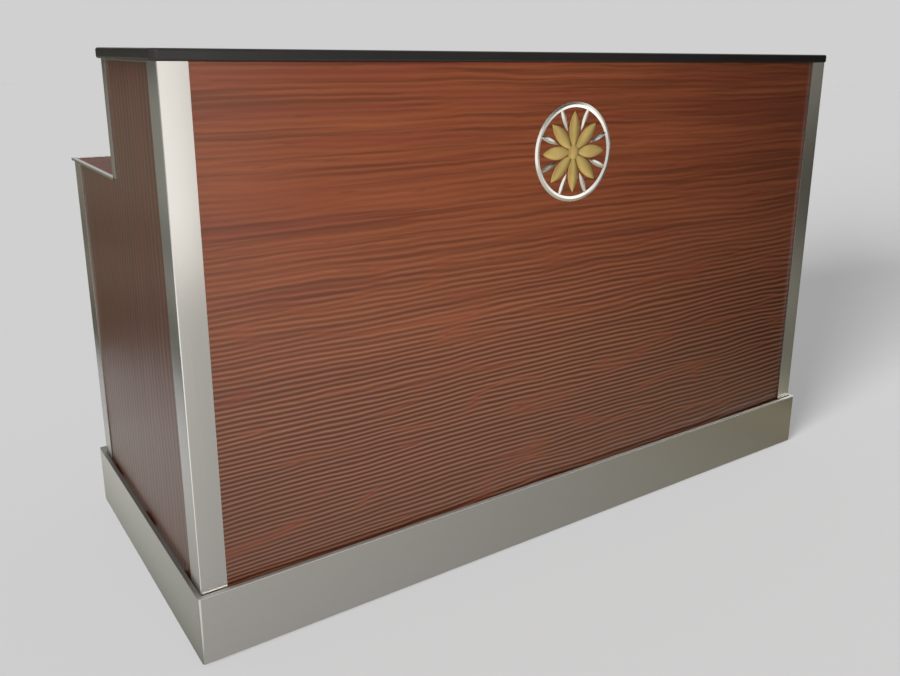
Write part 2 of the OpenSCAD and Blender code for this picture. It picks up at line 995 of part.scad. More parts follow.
module hinge_frame_leaves() {
  color("#c0c2c3")
    both_sides()
      for (z = hinge_levels)
        hinge_frame_leaf(z);
}

module hinge_door_leaves() {
  third = hinge_h / 3;
  clear = knuckle_d / 2 + gap;
  color("#c0c2c3")
    for (z = hinge_levels)
      difference() {
        union() {
          block([hinge_x + clear, rear_y, z], [hinge_x + leaf_w, rear_y + leaf_t, z + hinge_h]);
          hinge_knuckle(z + third, z + 2 * third, clear + 1);
        }
        rod_z(hinge_x, hinge_y, z, z + hinge_h, hinge_pin_d / 2 + fit);
      }
}

// Shelves on pins, one in each cabinet

module shelves() {
  color("#7c4a36")
    both_sides()
      block(
        [-inner_x + 1, inner_y + 4, shelf_z - shelf_t],
        [-divider_out - 1, door_in_y - 22, shelf_z]
      );
}

module shelf_pins() {
  length = 10;
  front_in = 60;
  rear_in = 80;
  z = shelf_z - shelf_t - shelf_pin_d / 2 - fit;
  color("#b5b7b8")
    both_sides()
      for (y = [inner_y + front_in, door_in_y - rear_in]) {
        rod_x(-inner_x, -inner_x + length, y, z, shelf_pin_d / 2);
        rod_x(-divider_out - length, -divider_out, y, z, shelf_pin_d / 2);
      }
}

// Ice bin

module bin_liner() {
  color("#c8cac9") {
    difference() {
      translate([0, 0, bin_floor - liner_t])
        linear_extrude(bin_depth + liner_t)
          bin_mouth(liner_t);
      translate([0, 0, bin_floor])
        linear_extrude(bin_depth + 2 * liner_t)
          bin_mouth(0);
      rod_z(0, bin_y, bin_floor - liner_t - 1, bin_floor + 1, drain_d / 2);
    }
    translate([0, 0, sheet_top])
      linear_extrude(liner_t)
        difference() {
          bin_mouth(rim_w);
          bin_mouth(0);
        }
  }
}

// Stepped rails along the bin's front and rear walls
module bin_rails() {
  length = bin_l - 2 * bin_corner_r;
  section = [
    [0, rail_foot],
    [2 * rail_step, rail_foot],
    [2 * rail_step, rail_low],
    [rail_step, rail_low],
    [rail_step, rail_high],
    [0, rail_high]
  ];
  color("#a8abab")
    for (side = [0, 1])
      translate([0, bin_y, 0])
        mirror([0, side, 0])
          translate([-length / 2, -bin_w / 2, 0])
            rotate([90, 0, 90])
              linear_extrude(length)
                polygon(section);
}

module bin_insulation() {
  color("#e6e2d6")
    difference() {
      translate([0, 0, foam_z])
        linear_extrude(board_z - foam_z)
          bin_mouth(liner_t + foam_t);
      translate([0, 0, bin_floor - liner_t])
        linear_extrude(bin_depth)
          bin_mouth(liner_t + fit);
      rod_z(0, bin_y, foam_z - 1, bin_floor, spout_r + gap);
    }
}

// Flat cover from x0 to x1 with a finger hole near its outer end
module bin_cover(x0, x1, half_w, z, hole_x) {
  color("#bfc1c0")
    translate([0, 0, z])
      linear_extrude(cover_t)
        difference() {
          rounded_rect([x0, bin_y - half_w], [x1, bin_y + half_w], bin_corner_r);
          translate([hole_x, bin_y])
            circle(finger_d / 2);
        }
}

module bin_cover_left() {
  half_w = bin_w / 2 - 2 * gap;
  bin_cover(-cover_end, cover_lap, half_w, rail_high + gap, -cover_end + finger_in);
}

module bin_cover_right() {
  half_w = bin_w / 2 - rail_step - 2 * gap;
  bin_cover(-cover_lap, cover_end, half_w, rail_low + gap, cover_end - finger_in);
}

// Drain: spout through the jacket, ball valve, hose tail

module drain_valve() {
  outlet_z = valve_z - valve_half - hose_tail_l;
  color("#b59a5a")
    difference() {
      union() {
        rod_z(0, bin_y, valve_z, bin_floor - liner_t, spout_r);
        block(
          [-valve_half, bin_y - valve_half, valve_z - valve_half],
          [valve_half, bin_y + valve_half, valve_z + valve_half]
        );
        rod_z(0, bin_y, outlet_z, valve_z - valve_half, hose_tail_d / 2);
      }
      rod_z(0, bin_y, outlet_z - 1, bin_floor, drain_d / 2);
      translate([0, bin_y, valve_z])
        sphere(ball_r + gap);
      rod_y(0, bin_y, bin_y + valve_half + 1, valve_z, stem_r + fit);
    }
}

// Lever, stem and ball; the lever lies across the pipe when the valve is shut
module drain_lever() {
  reach = valve_half + 2;
  face_y = bin_y + reach;
  half = 7;
  color("#b0382e") {
    difference() {
      translate([0, bin_y, valve_z])
        rotate([-90, 0, 0])
          rotate_extrude() {
            intersection() {
              circle(ball_r);
              translate([0, -ball_r])
                square([ball_r, 2 * ball_r]);
            }
            square([stem_r, reach + 1]);
          }
      rod_x(-ball_r - 1, ball_r + 1, bin_y, valve_z, drain_d / 2 - 1);
    }
    rod_y(0, face_y, face_y + lever_t, valve_z, half);
    block([0, face_y, valve_z - half], [lever_l, face_y + lever_t, valve_z + half]);
    rod_y(lever_l, face_y, face_y + lever_t, valve_z, half);
  }
}

// Speed rail: a sheet trough whose ends hook over cleats on the dividers

module speed_rail() {
  hook_z = cleat_top + gap;
  color("#bfc1c0") {
    block([-trough_x, trough_y0, rail_z], [trough_x, trough_y1, rail_z + rail_t]);
    block([-trough_x, trough_y0, rail_z], [trough_x, trough_y0 + rail_t, rail_z + rail_back_h]);
    block([-trough_x, trough_y1 - rail_t, rail_z], [trough_x, trough_y1, rail_z + rail_front_h]);
    both_sides() {
      block([-trough_x, trough_y0, rail_z], [-trough_x + rail_t, trough_y1, hook_z + rail_t]);
      block([-hook_x - rail_t, trough_y0 + 8, hook_z], [-trough_x, trough_y1 - 8, hook_z + rail_t]);
      block(
        [-hook_x - rail_t, trough_y0 + 8, hook_z - hook_drop],
        [-hook_x, trough_y1 - 8, hook_z + rail_t]
      );
    }
  }
}

// Cleats: upright channels screwed to the dividers
module speed_rail_brackets() {
  y0 = trough_y0 + 4;
  y1 = trough_y1 - 4;
  z0 = cleat_top - cleat_h;
  color("#8d8f90")
    both_sides() {
      block([-divider_in, y0, z0], [-divider_in + cleat_t, y1, cleat_top]);
      block([-divider_in, y0, z0], [-cleat_in + cleat_t, y1, z0 + cleat_t]);
      block([-cleat_in, y0, z0], [-cleat_in + cleat_t, y1, cleat_top]);
    }
}

bar_top();
front_panel();
side_panel();  // side_panel_left
mirror([1, 0, 0]) side_panel();  // side_panel_right
corner_trim();  // corner_trim_left
mirror([1, 0, 0]) corner_trim();  // corner_trim_right
rear_trims();
riser_trims();
side_top_strips();
worktop();
worktop_edging();
worktop_board();
kick_skirt();
skirt_spacers();
ornament_silver();
ornament_gold();
base_frame();
base_deck();
divider();  // divider_left
mirror([1, 0, 0]) divider();  // divider_right
bar_top_supports();
top_brackets();
caster_plates();
caster_bolts();
caster_fork(caster_spots[0], false);  // caster_fork_fl
caster_fork(caster_spots[1], false);  // caster_fork_fr
caster_fork(caster_spots[2], true);  // caster_fork_rl
caster_fork(caster_spots[3], true);  // caster_fork_rr
caster_hub(caster_spots[0]);  // caster_hub_fl
caster_hub(caster_spots[1]);  // caster_hub_fr
caster_hub(caster_spots[2]);  // caster_hub_rl
caster_hub(caster_spots[3]);  // caster_hub_rr
caster_tyre(caster_spots[0]);  // caster_tyre_fl
caster_tyre(caster_spots[1]);  // caster_tyre_fr
caster_tyre(caster_spots[2]);  // caster_tyre_rl
caster_tyre(caster_spots[3]);  // caster_tyre_rr
brake_pedal(caster_spots[2]);  // brake_pedal_left
brake_pedal(caster_spots[3]);  // brake_pedal_right
door();  // door_left
mirror([1, 0, 0]) door();  // door_right
door_fittings();  // door_fittings_left
mirror([1, 0, 0]) door_fittings();  // door_fittings_right
hinge_frame_leaves();
hinge_door_leaves();  // hinge_leaf_left
mirror([1, 0, 0]) hinge_door_leaves();  // hinge_leaf_right
door_lock();  // door_lock_left
mirror([1, 0, 0]) door_lock();  // door_lock_right
lock_strikes();
door_catches();
shelves();
shelf_pins();
bin_liner();
bin_rails();
bin_insulation();
bin_cover_left();
bin_cover_right();
drain_valve();
drain_lever();
speed_rail();
speed_rail_brackets();
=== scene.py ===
import json
import math
from collections import namedtuple

import bmesh
import bpy
import numpy as np
from mathutils import Matrix, Vector


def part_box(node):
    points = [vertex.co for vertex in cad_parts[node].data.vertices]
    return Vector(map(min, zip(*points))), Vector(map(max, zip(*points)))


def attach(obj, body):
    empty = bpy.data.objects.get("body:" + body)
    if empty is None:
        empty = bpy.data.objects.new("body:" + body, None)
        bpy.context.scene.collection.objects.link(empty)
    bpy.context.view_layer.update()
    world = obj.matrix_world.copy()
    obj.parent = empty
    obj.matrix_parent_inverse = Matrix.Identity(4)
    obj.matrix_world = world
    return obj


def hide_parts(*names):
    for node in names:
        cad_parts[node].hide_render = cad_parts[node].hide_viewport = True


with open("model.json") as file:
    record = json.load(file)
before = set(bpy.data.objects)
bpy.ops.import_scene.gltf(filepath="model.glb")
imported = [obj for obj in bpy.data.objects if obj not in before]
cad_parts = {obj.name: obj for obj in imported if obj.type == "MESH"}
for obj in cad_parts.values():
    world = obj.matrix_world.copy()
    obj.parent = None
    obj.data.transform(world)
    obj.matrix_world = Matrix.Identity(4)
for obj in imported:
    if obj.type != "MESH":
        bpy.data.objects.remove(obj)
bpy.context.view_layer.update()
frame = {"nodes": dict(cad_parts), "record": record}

# Portable bar: finishes, softened edges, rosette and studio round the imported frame.
# Lengths are metres, as in the frame, unless their comment says mm. The long side lies along X, and the guest
# side faces -Y.

MM = 0.001
record = frame["record"]
body_of = {node: body for body, nodes in record["behaviour"]["bodies"].items() for node in nodes}
slot_of = {part["node"]: part["material_slot"] for part in record["subparts"]}


# Shader building

SMOOTH = {"interpolation_type": "SMOOTHSTEP"}
COLOURS = {"data_type": "RGBA"}


def linear(code):
    """sRGB hex colour as linear RGBA: up to 0.04045 over 12.92, else (c + 0.055) / 1.055 to the power 2.4."""
    channels = [int(code[i:i + 2], 16) / 255 for i in (1, 3, 5)]
    return [c / 12.92 if c <= 0.04045 else ((c + 0.055) / 1.055) ** 2.4 for c in channels] + [1.0]


def out(value):
    """The output in use of a node; a socket or a plain value as it is."""
    if isinstance(value, bpy.types.Node):
        return next(output for output in value.outputs if output.enabled)
    return value


def add(tree, kind, inputs=(), **settings):
    """Adds one shader node. inputs are values, sockets or nodes, by place in a list or by name in a dict."""
    node = tree.nodes.new("ShaderNode" + kind)
    for name, value in settings.items():
        setattr(node, name, value)
    sockets = [socket for socket in node.inputs if socket.enabled]
    pairs = inputs.items() if isinstance(inputs, dict) else enumerate(inputs)
    for key, value in pairs:
        socket = sockets[key] if isinstance(key, int) else node.inputs[key]
        value = out(value)
        if isinstance(value, bpy.types.NodeSocket):
            tree.links.new(value, socket)
        else:
            socket.default_value = value
    return node


def material(name, **sockets):
    """A material with a principled shader whose sockets are set; returns it, its tree and the shader."""
    made = bpy.data.materials.new(name)
    made.use_nodes = True
    tree = made.node_tree
    shader = tree.nodes["Principled BSDF"]
    for socket, value in sockets.items():
        shader.inputs[socket.replace("_", " ")].default_value = value
    return made, tree, shader


def feed(tree, shader, **values):
    """Links nodes to the shader's sockets of those names."""
    for socket, value in values.items():
        tree.links.new(out(value), shader.inputs[socket.replace("_", " ")])


def place(tree, sizes=(1000, 1000, 1000)):
    """Object coordinates in pattern cells of the given sizes in mm."""
    scale = [1000 / size for size in sizes]
    return add(tree, "Mapping", {"Vector": add(tree, "TexCoord").outputs["Object"], "Scale": scale})


# Wood finishes. Sizes of patterns are in mm along and across the grain.

bow_size, bow_reach = (667, 333), 24
waver_size, waver_reach = (143, 62.5), 9
band_size = (625, 38.5)
line_length = 625
pore_size = (71.4, 6.667)

# How far a pore darkens the print and how much painted light a full ridge's crest gets, then the relief's
# depth and the fibre's share of it
pore_depth = 0.25
crest_painted_light = 0.68
relief_depth = 0.7
fibre_share = 0.3

# Levels of noise at which the bands change their tone, and between which lines, pores and sure ridges come in
band_low, band_middle, band_high = 0.32, 0.5, 0.68
line_levels = (0.47, 0.38)
pore_levels = (0.68, 0.76)
sure_levels = (0.02, 0.2)
least_sure = 0.35

# Patches of ridges: the ridges in the height of one, its length, and how much wider apart they are higher up
patch_ridges = 5
patch_length = 200
upper_spread = 1.25

# Spacing in mm, strength at the low and the high level, growth of the spacing in mm for each metre along the
# grain, and the two levels across the grain in metres
Ridges = namedtuple("Ridges", "spacing strong weak growth low high", defaults=(0.0, 0.0, 1.0))
ridges_front = Ridges(11.2, 1.0, 0.15, growth=1.9, low=0.33, high=0.92)
ridges_side = Ridges(24.0, 0.5, 0.5)
ridges_door = Ridges(24.0, 0.28, 0.28)
ridges_flat = Ridges(13.0, 0.15, 0.15)


def grain_place(tree, along, across):
    """Object coordinates turned so that X runs along the grain and Z across it."""
    left = ({"X", "Y", "Z"} - {along, across}).pop()
    parts = add(tree, "SeparateXYZ", [add(tree, "TexCoord").outputs["Object"]])
    return add(tree, "CombineXYZ", [parts.outputs[along], parts.outputs[left], parts.outputs[across]])


def grain_noise(tree, space, sizes, detail):
    """Noise drawn out along the grain, in cells of the given sizes in mm along and across it."""
    along, across = (1000 / size for size in sizes)
    cells = add(tree, "Mapping", {"Vector": space, "Scale": (along, along, across)})
    return add(tree, "TexNoise", {"Vector": cells, "Scale": 1.0, "Detail": detail})


def bowed(tree, space):
    """The grain's space moved across the grain by a slow bow and a quicker waver.

    Each is its noise less a half, times its reach.
    """
    bow = grain_noise(tree, space, bow_size, detail=1.0)
    bow = add(tree, "Math", [bow, bow_reach * MM, -bow_reach * MM / 2], operation="MULTIPLY_ADD")
    waver = grain_noise(tree, space, waver_size, detail=2.0)
    waver = add(tree, "Math", [waver, waver_reach * MM, -waver_reach * MM / 2], operation="MULTIPLY_ADD")
    shift = add(tree, "CombineXYZ", [0.0, 0.0, add(tree, "Math", [bow, waver], operation="ADD")])
    return add(tree, "VectorMath", [space, shift], operation="ADD")


def pressed_ridges(tree, bent, level, ridges):
    """How far each point is up a pressed ridge, and how far down between two, up to the ridges' strength.

    A ridge's height is half of 1 plus the cosine of its phase. Each patch is out of step with its neighbours,
    so that some ridges fork, and the ridges are weaker where two patches cancel each other.
    """
    patch = patch_ridges * ridges.spacing * MM
    parts = add(tree, "SeparateXYZ", [bent])
    across = add(tree, "Math", [parts.outputs["Z"], patch], operation="DIVIDE")
    along = add(tree, "Math", [parts.outputs["X"], patch_length * MM], operation="DIVIDE")
    spread = add(tree, "MapRange", [level, ridges.low, ridges.high, 1.0, upper_spread], **SMOOTH)
    pitch = add(tree, "Math", [parts.outputs["X"], ridges.growth * MM, ridges.spacing * MM],
                operation="MULTIPLY_ADD")
    pitch = add(tree, "Math", [pitch, spread], operation="MULTIPLY")
    waves = add(tree, "TexGabor", {"Vector": add(tree, "CombineXYZ", [across, along]), "Scale": 1.0,
                                   "Frequency": add(tree, "Math", [patch, pitch], operation="DIVIDE"),
                                   "Anisotropy": 1.0, "Orientation": 0.0})
    angle = add(tree, "Math", [waves.outputs["Phase"], 2 * math.pi], operation="MULTIPLY")
    wave = add(tree, "Math", [angle], operation="COSINE")
    ridge = add(tree, "Math", [wave, 0.5, 0.5], operation="MULTIPLY_ADD")
    strength = add(tree, "MapRange", [level, ridges.low, ridges.high, ridges.strong, ridges.weak], **SMOOTH)
    sure = add(tree, "MapRange", [waves.outputs["Intensity"], *sure_levels, least_sure, 1.0], **SMOOTH)
    strength = add(tree, "Math", [strength, sure], operation="MULTIPLY")
    raised = add(tree, "Math", [ridge, strength], operation="MULTIPLY")
    between = add(tree, "Math", [1.0, ridge], operation="SUBTRACT")
    return raised, add(tree, "Math", [between, strength], operation="MULTIPLY")


def mahogany_laminate(name, along, across, ridges, roughness, line_gap, gloss, faint=0.12, clear=0.12):
    """High-pressure laminate with a printed mahogany grain and a pressed satin texture.

    The print has broad soft bands of tone, long thin dark lines that are line_gap mm apart, thin out and
    join, and short dark pores. The lines grow from faint to clear between the ridges' two levels. The pressed
    ridges get painted light on their crests and painted shade between them. To the eye: warm red brown with
    a soft, broad shine.
    """
    made, tree, shader = material(name, IOR=1.5, Roughness=roughness, Specular_IOR_Level=gloss)
    space = grain_place(tree, along, across)
    bent = bowed(tree, space)
    level = add(tree, "SeparateXYZ", [space]).outputs["Z"]
    raised, painted_valley_shade = pressed_ridges(tree, bent, level, ridges)

    bands = grain_noise(tree, bent, band_size, detail=3.0)
    middle = add(tree, "MapRange", [bands, band_low, band_middle, 0.0, 1.0], **SMOOTH)
    upper = add(tree, "MapRange", [bands, band_middle, band_high, 0.0, 1.0], **SMOOTH)
    tone = add(tree, "Mix", [middle, linear("#773823"), linear("#7d3f23")], **COLOURS)
    tone = add(tree, "Mix", [upper, tone, linear("#854427")], **COLOURS)
    # Painted light on the ridges' crests, which are coloured lighter
    painted_crest_light = add(tree, "Math", [raised, crest_painted_light], operation="MULTIPLY")
    tone = add(tree, "Mix", [painted_crest_light, tone, linear("#9c6e52")], **COLOURS)
    # Painted shade between the ridges, where the valleys are coloured darker
    tone = add(tree, "Mix", [painted_valley_shade, tone, linear("#481f0e")], **COLOURS)

    fibre = grain_noise(tree, bent, (line_length, line_gap), detail=1.5)
    line = add(tree, "MapRange", [fibre, *line_levels, 0.0, 1.0], **SMOOTH)
    clearness = add(tree, "MapRange", [level, ridges.low, ridges.high, faint, clear], **SMOOTH)
    line = add(tree, "Math", [line, clearness], operation="MULTIPLY")
    pores = grain_noise(tree, bent, pore_size, detail=1.0)
    pore = add(tree, "MapRange", [pores, *pore_levels, 0.0, pore_depth], **SMOOTH)
    marks = add(tree, "Math", [line, pore], operation="MAXIMUM")
    tone = add(tree, "Mix", [marks, tone, linear("#341a10")], **COLOURS)

    relief = add(tree, "Math", [fibre, fibre_share, raised], operation="MULTIPLY_ADD")
    bump = add(tree, "Bump", {"Height": relief, "Distance": relief_depth * MM, "Strength": 0.7})
    feed(tree, shader, Base_Color=tone, Normal=bump)
    return made


# Metal finishes. Sizes of patterns are in mm.

streak_length, streak_gap = 250, 1
steel_cloud = 250
haze_size = 28.6
spangle_size = 4.55
zinc_cloud = 33.3

# How much each pattern changes the roughness, from where it is least to where it is most
streak_dulling = 0.03
cloud_dulling = 0.04
haze_dulling = 0.12
zinc_dulling = 0.2
zinc_roughness = 0.38

# Levels of noise between which the steel's streaks go from the darker grey to the lighter
streak_levels = (0.3, 0.7)

# How much rubbing adds to the roughness, and the height in metres over which it comes in
rubbed_dulling = 0.4
rubbed_edge = 1.5 * MM


def satin_steel(name, run, roughness=0.25, rubbed_from=None):
    """Stainless steel sheet, belt-brushed to a satin finish along the axes in run, then folded.

    To the eye: a pale grey metal whose reflections are drawn out across the brushing, with faint streaks
    along it. The streaks are 1 mm apart, coarser than the real ones of 0.2 mm, so that they show from near
    by. From the height rubbed_from up the metal is rubbed dull, so that a fold there is light from all sides.
    """
    made, tree, shader = material(name, Metallic=1.0, Anisotropic=0.5)
    streaks = place(tree, [streak_length if axis in run else streak_gap for axis in "XYZ"])
    fine = add(tree, "TexNoise", {"Vector": streaks, "Scale": 1.0, "Detail": 2.0, "Roughness": 0.6})
    cloud = add(tree, "TexNoise", {"Vector": place(tree), "Scale": 1000 / steel_cloud, "Detail": 2.0})
    lowest = roughness - (streak_dulling + cloud_dulling) / 2
    dull = add(tree, "Math", [fine, streak_dulling, lowest], operation="MULTIPLY_ADD")
    dull = add(tree, "Math", [cloud, cloud_dulling, dull], operation="MULTIPLY_ADD")
    if rubbed_from:
        height = add(tree, "SeparateXYZ", [place(tree)]).outputs["Z"]
        rubbed_to = rubbed_from + rubbed_edge
        rubbed = add(tree, "MapRange", [height, rubbed_from, rubbed_to, 0.0, rubbed_dulling], **SMOOTH)
        dull = add(tree, "Math", [dull, rubbed], operation="ADD")
    bright = add(tree, "MapRange", [fine, *streak_levels, 0.0, 1.0], **SMOOTH)
    shade = add(tree, "Mix", [bright, linear("#b8b6b2"), linear("#bbb9b5")], **COLOURS)
    side = add(tree, "CombineXYZ", [0.0 if axis in run else 1.0 for axis in "XYZ"])
    feed(tree, shader, Roughness=dull, Base_Color=shade, Tangent=side)
    return made


def polished_metal(name, colour, shade, roughness):
    """Metal plate ground flat and polished, with faint haze. To the eye: bright facets, sharp edges."""
    made, tree, shader = material(name, Metallic=1.0)
    haze = add(tree, "TexNoise", {"Vector": place(tree), "Scale": 1000 / haze_size, "Detail": 3.0})
    tone = add(tree, "Mix", [haze, linear(colour), linear(shade)], **COLOURS)
    lowest = roughness - haze_dulling / 2
    dull = add(tree, "Math", [haze, haze_dulling, lowest], operation="MULTIPLY_ADD")
    feed(tree, shader, Base_Color=tone, Roughness=dull)
    return made


def zinc_plate(name):
    """Pressed steel, bright zinc plated. To the eye: bluish grey, slightly blotchy, with a soft shine."""
    made, tree, shader = material(name, Metallic=1.0)
    spangle = add(tree, "TexVoronoi", {"Vector": place(tree), "Scale": 1000 / spangle_size},
                  feature="SMOOTH_F1")
    cloud = add(tree, "TexNoise", {"Vector": place(tree), "Scale": 1000 / zinc_cloud, "Detail": 3.0})
    share = add(tree, "Math", [spangle.outputs["Distance"], cloud], operation="MULTIPLY")
    tone = add(tree, "Mix", [share, linear("#a9adb0"), linear("#8b9094")], **COLOURS)
    lowest = zinc_roughness - zinc_dulling / 2
    dull = add(tree, "Math", [cloud, zinc_dulling, lowest], operation="MULTIPLY_ADD")
    feed(tree, shader, Base_Color=tone, Roughness=dull)
    return made


# Plastics, paints, rubber and foam. Sizes of patterns are in mm.

plastic_cloud = 83.3
pebble_dulling = 0.16


def grained_plastic(name, colour, shade, roughness, pebble, depth, ior=1.5):
    """Moulded or coated surface with a fine pebbled texture of the given size and depth in mm.

    The pebbles are drawn coarser than real ones, so that they show from near by.
    """
    made, tree, shader = material(name, IOR=ior)
    grain = add(tree, "TexNoise", {"Vector": place(tree), "Scale": 1000 / pebble, "Detail": 2.0})
    cloud = add(tree, "TexNoise", {"Vector": place(tree), "Scale": 1000 / plastic_cloud, "Detail": 3.0})
    tone = add(tree, "Mix", [cloud, linear(colour), linear(shade)], **COLOURS)
    lowest = roughness - pebble_dulling / 2
    dull = add(tree, "Math", [grain, pebble_dulling, lowest], operation="MULTIPLY_ADD")
    bump = add(tree, "Bump", {"Height": grain, "Distance": depth * MM, "Strength": 0.6})
    feed(tree, shader, Base_Color=tone, Roughness=dull, Normal=bump)
    return made


# The finishes in use. Laminates have the axes along and across their grain.
front_wood = mahogany_laminate("mahogany_laminate_front", "X", "Z", ridges_front,
                               roughness=0.32, line_gap=7, gloss=0.65, clear=0.36)
side_wood = mahogany_laminate("mahogany_laminate_side", "Z", "Y", ridges_side,
                              roughness=0.3, line_gap=16, gloss=0.4)
top_wood = mahogany_laminate("mahogany_laminate_worktop", "X", "Y", ridges_flat,
                             roughness=0.46, line_gap=14, gloss=0.12)
door_wood = mahogany_laminate("mahogany_laminate_door", "Z", "X", ridges_door,
                              roughness=0.36, line_gap=16, gloss=0.5)
board_flat = mahogany_laminate("mahogany_board_flat", "X", "Y", ridges_flat,
                               roughness=0.45, line_gap=16, gloss=0.4)
board_upright = mahogany_laminate("mahogany_board_upright", "Z", "Y", ridges_flat,
                                  roughness=0.45, line_gap=16, gloss=0.4)

steel_upright = satin_steel("satin_steel_upright", "Z")
steel_level = satin_steel("satin_steel_level", "XY", roughness=0.3)
steel_along = satin_steel("satin_steel_along", "X")
steel_skirt = satin_steel("satin_steel_skirt", "XY", rubbed_from=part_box("kick_skirt")[1].z - 3 * MM)

# From here on: two colours, roughness, and the pebbles' size and depth in mm.
# Black laminate pressed over a rounded slab: near black, satin, with a very fine pebble
black_laminate = grained_plastic("black_laminate", "#282624", "#201f1d", 0.34, 1.43, 0.03)
# Nylon catches, off-white and slightly glossy
catch_plastic = grained_plastic("nylon_catch", "#d6d1c3", "#c9c3b3", 0.42, 2, 0.04)
# High-density polyethylene spacers, grey and waxy
spacer_plastic = grained_plastic("polyethylene_spacer", "#8b8b88", "#7c7c79", 0.55, 3.33, 0.08)
# Powder coat on the welded frame: black with a light orange peel
powder_coat = grained_plastic("black_powder_coat", "#26282a", "#1e2022", 0.42, 3.85, 0.08)
# Glass-filled nylon wheel cores, dark grey and matt
wheel_core = grained_plastic("nylon_wheel_core", "#56595b", "#4a4d4f", 0.5, 2.5, 0.05)
# Thermoplastic rubber treads, near black and dull
tread_rubber = grained_plastic("rubber_tread", "#2d2d2c", "#232322", 0.72, 2.86, 0.1)
# Polyurethane foam jacket, pale and open-celled
foam = grained_plastic("polyurethane_foam", "#ddd3b4", "#cabf9c", 0.9, 5.56, 0.6, 1.45)
# Stove enamel on lever and pedals, red and glossy
red_enamel = grained_plastic("red_enamel", "#a8261f", "#96211b", 0.3, 6.67, 0.04, 1.52)

# Zinc-plated plates, forks and bolts
zinc = zinc_plate("zinc_plated_steel")
# Polished handles, hinges and locks: two colours and roughness, as for the plates and the valve
fitting_metal = polished_metal("polished_steel_fittings", "#cfd0ce", "#b9bab8", 0.22)
# Polished plates of the rosette, one silver white and one pale gold, and a duller yellow valve
silver_plate = polished_metal("polished_silver_plate", "#ece9e2", "#d9d5cc", 0.2)
gold_plate = polished_metal("polished_brass_plate", "#e3c47c", "#cdaf6a", 0.3)
valve_brass = polished_metal("cast_brass_valve", "#b8985a", "#9c7f48", 0.36)

finish_of_slot = {
    "bar_top_laminate": black_laminate, "front_laminate": front_wood, "side_laminate": side_wood,
    "worktop_laminate": top_wood, "carcass_wood": board_upright, "door_laminate": door_wood,
    "satin_steel": steel_upright, "ornament_steel": silver_plate, "gold_brass": gold_plate,
    "fitting_steel": fitting_metal, "zinc_steel": zinc, "wheel_core": wheel_core, "tread": tread_rubber,
    "black_frame": powder_coat, "spacer_plastic": spacer_plastic, "catch_plastic": catch_plastic,
    "foam": foam, "valve_brass": valve_brass, "red_enamel": red_enamel,
}
finish_of_node = {
    "kick_skirt": steel_skirt, "worktop_edging": steel_along, "bin_liner": steel_level,
    "bin_cover_left": steel_along, "bin_cover_right": steel_along, "bin_rails": steel_along,
    "speed_rail": steel_along, "base_deck": board_flat, "worktop_board": board_flat, "shelves": board_flat,
}


def finish(node):
    """The finish of a node: its own if it has one, else its slot's."""
    return finish_of_node.get(node, finish_of_slot[slot_of[node]])


for node, solid in frame["nodes"].items():
    solid.data.materials.clear()
    solid.data.materials.append(finish(node))


# Softened edges. Radii are in mm.

edge_radii = {
    "front_panel": 0.6, "side_panel_left": 0.6, "side_panel_right": 0.6,
    "corner_trim_left": 0.7, "corner_trim_right": 0.7, "rear_trims": 0.7, "riser_trims": 0.7,
    "side_top_strips": 0.5, "worktop": 0.5, "worktop_edging": 0.35, "kick_skirt": 0.5,
    "door_left": 1.2, "door_right": 1.2, "shelves": 1.0, "divider_left": 0.8, "divider_right": 0.8,
    "bin_cover_left": 0.5, "bin_cover_right": 0.5, "bin_liner": 0.4, "speed_rail": 0.5,
    "brake_pedal_left": 0.8, "brake_pedal_right": 0.8, "drain_valve": 1.2, "drain_lever": 0.8,
}
fold_radii = {"kick_skirt": 3.2}
upright_fold_share = 0.6
hard_edge = math.radians(32)
flat_enough = math.radians(0.5)
merging_distance = 0.002 * MM
side_distance = 0.05 * MM


def merged_copy(node):
    """A copy of the node's mesh with its doubled corners merged and its flat stretches made one face each."""
    source = frame["nodes"][node].data
    corners = np.empty(len(source.vertices) * 3, np.float32)
    source.vertices.foreach_get("co", corners)
    loops = np.empty(len(source.loops), np.int32)
    source.loops.foreach_get("vertex_index", loops)
    mesh = bpy.data.meshes.new(node + "_finished")
    mesh.from_pydata(corners.reshape(-1, 3), [], loops.reshape(-1, 3))
    merged = bmesh.new()
    merged.from_mesh(mesh)
    bmesh.ops.remove_doubles(merged, verts=merged.verts, dist=merging_distance)
    bmesh.ops.dissolve_limit(merged, angle_limit=flat_enough, verts=merged.verts, edges=merged.edges)
    merged.to_mesh(mesh)
    merged.free()
    return mesh


def mark_folds(mesh):
    """Marks the edges where two outer faces of a folded sheet meet.

    These are the edges that lie on two sides of its box, but not below or behind. One along the top is marked
    for the whole radius, an upright one for a share of it.
    """
    corners = np.empty(len(mesh.vertices) * 3, np.float32)
    mesh.vertices.foreach_get("co", corners)
    corners = corners.reshape(-1, 3)
    ends = np.empty(len(mesh.edges) * 2, np.int32)
    mesh.edges.foreach_get("vertices", ends)
    points = corners[ends.reshape(-1, 2)]
    on_low = np.all(np.abs(points - corners.min(axis=0)) < side_distance, axis=1)
    on_high = np.all(np.abs(points - corners.max(axis=0)) < side_distance, axis=1)
    folded = ((on_low | on_high).sum(axis=1) == 2) & ~on_low[:, 2] & ~on_high[:, 1]
    shares = np.where(on_high[:, 2], 1.0, upright_fold_share) * folded
    weights = mesh.attributes.new("bevel_weight_edge", "FLOAT", "EDGE")
    weights.data.foreach_set("value", shares.astype(np.float32))


